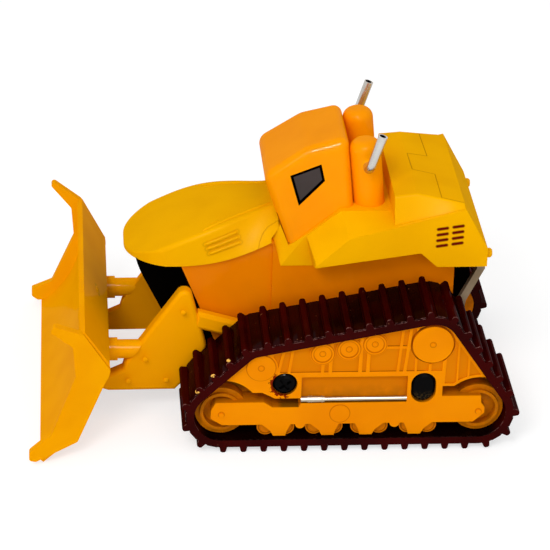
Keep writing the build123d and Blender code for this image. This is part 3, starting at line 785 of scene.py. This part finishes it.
def shoe_plates():
    """A raised plate with bevelled rims on the belt between each two lugs."""
    shape = bmesh.new()
    pitch = BELT_LENGTH / LUG_COUNT
    length = pitch - 2.3                         # leaves room for the lug's foot
    width = TRACK_W - 0.5
    thick = 0.7
    size = Matrix.Diagonal((length, width, thick, 1))
    sunk = Matrix.Translation((0, 0, -0.12))     # as a share of the thickness
    for number in range(LUG_COUNT):
        ahead, height, out = on_belt((number + 0.5) * pitch)
        place = Matrix.Translation(at(ahead, TRACK_MIDDLE_Y, height))
        turn = Matrix.Rotation(math.pi / 2 - out, 4, "Y")
        verts = bmesh.ops.create_cube(shape, size=1, matrix=place @ turn @ size @ sunk)["verts"]
        soften(shape, verts, edge=0.2)
    finished("shoe_plates", shape, SHOE_PLATE, "machine")


def paint_chips():
    """Flecks of the body's yellow on the left track's front lugs."""
    shape = bmesh.new()
    for ahead, height, size in ((37.6, 17.3, 0.8), (34.0, 21.6, 0.65), (30.4, 25.9, 0.5)):
        place = at(ahead, TRACK_HIGH.y - 0.35, height)
        dome(shape, place, (size, 0.4, 0.8 * size), segments=12)
    finished("paint_chips", shape, CHIP, "machine", both_sides=False)


# ---- trim on the track frames -------------------------------------------------------------------
def hub_dots():
    """A dot at the middle of the upper wheels; the carrier rollers are dished round theirs."""
    shape = bmesh.new()
    length = 0.6
    rise = 0.2
    for ahead, height in (*CARRIERS, TOP_ROLLER, SPROCKET):
        face = FRAME_FACE if (ahead, height) in CARRIERS else FRAME_FACE + PROUD
        place = Matrix.Translation(at(ahead, face + rise - length / 2, height))
        pin(shape, place @ Matrix.Rotation(math.pi / 2, 4, "X"), 0.55, length, edge=0.1)
    finished("hub_dots", shape, TRACK_FRAME, "machine")


def roller_rings():
    """A raised ring on the side of each bottom roller."""
    shape = bmesh.new()
    ring_r = 1.5
    wire_r = 0.17
    for ahead, height in ROLLERS:
        centre = at(ahead, FRAME_FACE - 1.0, height)
        ring = bmesh.ops.create_circle(
            shape, cap_ends=False, segments=6, radius=wire_r,
            matrix=Matrix.Translation(centre + Vector((ring_r, 0, 0))),
        )["verts"]
        bmesh.ops.spin(
            shape, geom=ring_edges(ring), cent=centre, axis=(0, 1, 0), angle=2 * math.pi, steps=24,
            use_merge=True,
        )
    finished("roller_rings", shape, TRACK_FRAME, "machine")


def screw_heads():
    """Domed heads with a cross recess in front, and domed plugs behind."""
    seat = SCREW_FACE - 0.1
    radius = SCREW_R - 0.05
    head = bmesh.new()
    cutter = bmesh.new()
    ahead, height = SCREW_FRONT
    dome(head, at(ahead, seat, height), (radius, 1.3, radius), segments=32)
    cross(cutter, at(ahead, seat + 1.25, height), "Y", turn=35, bar=(3.4, 1.3, 0.75))
    shape = carved(head, cutter)
    ahead, height = PLUG_REAR
    dome(shape, at(ahead, seat, height), (radius, 1.1, PLUG_H / 2 - 0.05), segments=32)
    finished("screw_heads", shape, SCREW, "machine")


def rod_rings():
    """Ridges on the sleeves of the tension rods."""
    shape = bmesh.new()
    low, high = (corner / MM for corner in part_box("tension_rod_left"))
    middle = (low + high) / 2
    for back in (2.0, 2.6, 5.2):
        place = Matrix.Translation((high.x - back, middle.y, middle.z))
        along = Matrix.Rotation(math.pi / 2, 4, "Y")
        pin(shape, place @ along, radius=0.88, length=0.3, edge=0.08, segments=20)
    finished("rod_rings", shape, ROD, "machine")


# ---- trim on the body and the blade -------------------------------------------------------------
def bonnet_vents():
    """Three raised ribs on each side of the bonnet, and a rail and a catch above its crease."""
    skin = Skin("bonnet")
    shape = bmesh.new()
    for rib in RIBS:
        bead(shape, skin.from_side, rib, half_width=0.42, rise=0.36)
    bead(shape, skin.from_above, RAIL, half_width=0.45, rise=0.34)
    bead(shape, skin.from_above, CATCH, half_width=0.30, rise=0.14)
    finished("bonnet_vents", shape, BONNET, "machine")


def cover_ridges():
    """A thin ridge on the fenders beside the hump's foot."""
    shape = bmesh.new()
    bead(shape, Skin("rear_cover").from_above, FENDER_RIDGE, half_width=0.20, rise=0.16)
    finished("cover_ridges", shape, COVER, "machine")


def window_rims():
    """A thin black rim round each pane, drawn in from the pane's own outline."""
    for node, outward in (
        ("side_window_left", Vector((0, 1, 0))),
        ("side_window_right", Vector((0, -1, 0))),
        ("windscreen", Vector((1, 0, 0))),
    ):
        shape = bmesh.new()
        shape.from_mesh(NODES[node].data)
        bmesh.ops.scale(shape, vec=(1 / MM, 1 / MM, 1 / MM), verts=shape.verts)
        bmesh.ops.remove_doubles(shape, verts=shape.verts, dist=0.001)
        shape.normal_update()
        hidden = [face for face in shape.faces if face.normal.dot(outward) < 0.7]
        bmesh.ops.delete(shape, geom=hidden, context="FACES")
        bmesh.ops.dissolve_limit(
            shape, angle_limit=math.radians(5), verts=shape.verts, edges=shape.edges,
        )
        pane = shape.faces[:]
        bmesh.ops.inset_region(
            shape, faces=pane, thickness=0.64, use_boundary=True, use_even_offset=True,
        )
        bmesh.ops.delete(shape, geom=pane, context="FACES")
        bmesh.ops.solidify(shape, geom=shape.faces[:], thickness=-0.16)
        finished(f"{node}_rim", shape, BLACK, "machine", both_sides=False)


def exhaust_mouths():
    """A black disc in the end of each stack, as painted shade for its bore."""
    low, high = (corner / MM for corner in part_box("exhaust_left"))
    # the stack leans back, so its end is by the rear and outer sides of its box
    place, out = Skin("exhaust_left").from_above(low.x + 1.2 - MID, high.y - 1.15)
    turn = out.to_track_quat("Z", "Y").to_matrix().to_4x4()
    shape = bmesh.new()
    pin(shape, Matrix.Translation(place) @ turn, radius=0.8, length=0.06, edge=0.02, bevels=1)
    finished("exhaust_mouths", shape, BLACK, "machine")


def arm_rivets():
    """Low domes at the corners of the gusset plates."""
    shape = bmesh.new()
    face = (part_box("blade_arm_left")[1] / MM).y
    for ahead, height in ((40.6, 29.6), (50.0, 16.4), (54.2, 10.3), (44.7, 10.4)):
        dome(shape, at(ahead, face - 0.05, height), (0.75, 0.32, 0.75), segments=20)
    finished("arm_rivets", shape, BLADE, "blade_group")


def blade_gate_mark():
    """Where the mould filled the blade, on its back."""
    shape = bmesh.new()
    bead(shape, Skin("blade").from_behind, MOULD_MARK, half_width=0.45, rise=0.16)
    finished("blade_gate_mark", shape, BLADE, "blade_group", both_sides=False)


def base_screws():
    """Four case screws in the base plate, each with a cross recess."""
    low, high = (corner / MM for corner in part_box("base_plate"))
    inset = 5
    heads = bmesh.new()
    cutter = bmesh.new()
    for x in (low.x + inset, high.x - inset):
        place = Vector((x, 7.5, low.z))
        dome(heads, place, (2.1, 2.1, 0.5))
        cross(cutter, place - Vector((0, 0, 0.5)), "Z", turn=20, bar=(2.4, 0.55, 0.7))
    finished("base_screws", carved(heads, cutter), SCREW, "machine")


shoe_plates()
paint_chips()
hub_dots()
roller_rings()
screw_heads()
rod_rings()
bonnet_vents()
cover_ridges()
window_rims()
arm_rivets()
blade_gate_mark()
exhaust_mouths()
base_screws()


# ---- floor, light and camera --------------------------------------------------------------------
LOOK_AT = Vector((-1.98, 0, 29.7)) * MM
CAMERA_AZIMUTH = 174.89
CAMERA_ELEVATION = 28.0
CAMERA_ROLL = 1.8
CAMERA_DISTANCE = 663.1 * MM
SENSOR = 36.0
LENS = 170.70545
WHITE = (1, 1, 1, 1)


def heading(azimuth, elevation):
    """Unit vector from the toy towards a viewer at that azimuth and elevation, in degrees."""
    a, e = math.radians(azimuth), math.radians(elevation)
    return Vector((math.sin(a) * math.cos(e), -math.cos(a) * math.cos(e), math.sin(e)))


def floor():
    """Plain pale floor that looks white, and keeps the toy's soft shadow."""
    finish = Finish("floor", roughness=0.9)
    finish.set("Base Color", (0.75, 0.75, 0.75, 1))
    looks_white = finish.add("ShaderNodeBsdfPrincipled", **{
        "Base Color": (0.5, 0.5, 0.5, 1), "Roughness": 0.9, "Specular IOR Level": 0.0,
        "Emission Color": WHITE, "Emission Strength": 0.62,
    })
    pale = Value(finish, finish.shader.outputs[0])
    mix = finish.add("ShaderNodeMixShader", {}, finish.seen(), pale, looks_white)
    finish.put(finish.nodes["Material Output"].inputs["Surface"], mix)
    mesh = bpy.data.meshes.new("floor")
    shape = bmesh.new()
    bmesh.ops.create_grid(shape, x_segments=1, y_segments=1, size=3.0)
    shape.to_mesh(mesh)
    shape.free()
    mesh.materials.append(finish.material)
    piece = bpy.data.objects.new("floor", mesh)
    bpy.context.scene.collection.objects.link(piece)


def world(strength):
    """White where it is seen, and a plain even light of the given strength on the toy."""
    data = bpy.data.worlds.new("studio")
    bpy.context.scene.world = data
    data.use_nodes = True
    tree = Nodes(data.node_tree)
    background = tree.nodes["Background"]
    tree.put(background.inputs["Color"], WHITE)
    tree.put(background.inputs["Strength"], strength)
    light = Value(tree, background.outputs[0])
    looks_white = tree.add("ShaderNodeBackground", Color=WHITE, Strength=1.0)
    mix = tree.add("ShaderNodeMixShader", {}, tree.seen(), light, looks_white)
    tree.put(tree.nodes["World Output"].inputs["Surface"], mix)


def lamp(name, azimuth, elevation, distance, size, power, only_shines=False):
    """A soft square lamp that faces the toy; one that only shines is seen in the gloss alone."""
    data = bpy.data.lights.new(name, "AREA")
    data.size = size
    data.energy = power
    piece = bpy.data.objects.new(name, data)
    piece.visible_diffuse = not only_shines
    direction = heading(azimuth, elevation)
    piece.location = LOOK_AT + direction * distance
    piece.rotation_euler = direction.to_track_quat("Z", "Y").to_euler()
    bpy.context.scene.collection.objects.link(piece)


def camera():
    """Looks down at the toy's left side, from a little ahead of square."""
    data = bpy.data.cameras.new("camera")
    data.lens = LENS
    data.sensor_width = SENSOR
    data.clip_start = 0.01
    piece = bpy.data.objects.new("camera", data)
    direction = heading(CAMERA_AZIMUTH, CAMERA_ELEVATION)
    turn = direction.to_track_quat("Z", "Y").to_matrix().to_4x4()
    roll = Matrix.Rotation(math.radians(CAMERA_ROLL), 4, "Z")
    piece.matrix_world = Matrix.Translation(LOOK_AT + direction * CAMERA_DISTANCE) @ turn @ roll
    bpy.context.scene.collection.objects.link(piece)
    bpy.context.scene.camera = piece


bpy.context.scene.view_settings.view_transform = "Standard"
world(strength=0.68)
floor()
camera()
lamp("key", azimuth=155, elevation=42, distance=0.6, size=0.2, power=1.3)
lamp("fill", azimuth=195, elevation=18, distance=0.7, size=0.4, power=0.65)
lamp("glint", azimuth=177, elevation=46, distance=0.6, size=0.14, power=7.0, only_shines=True)
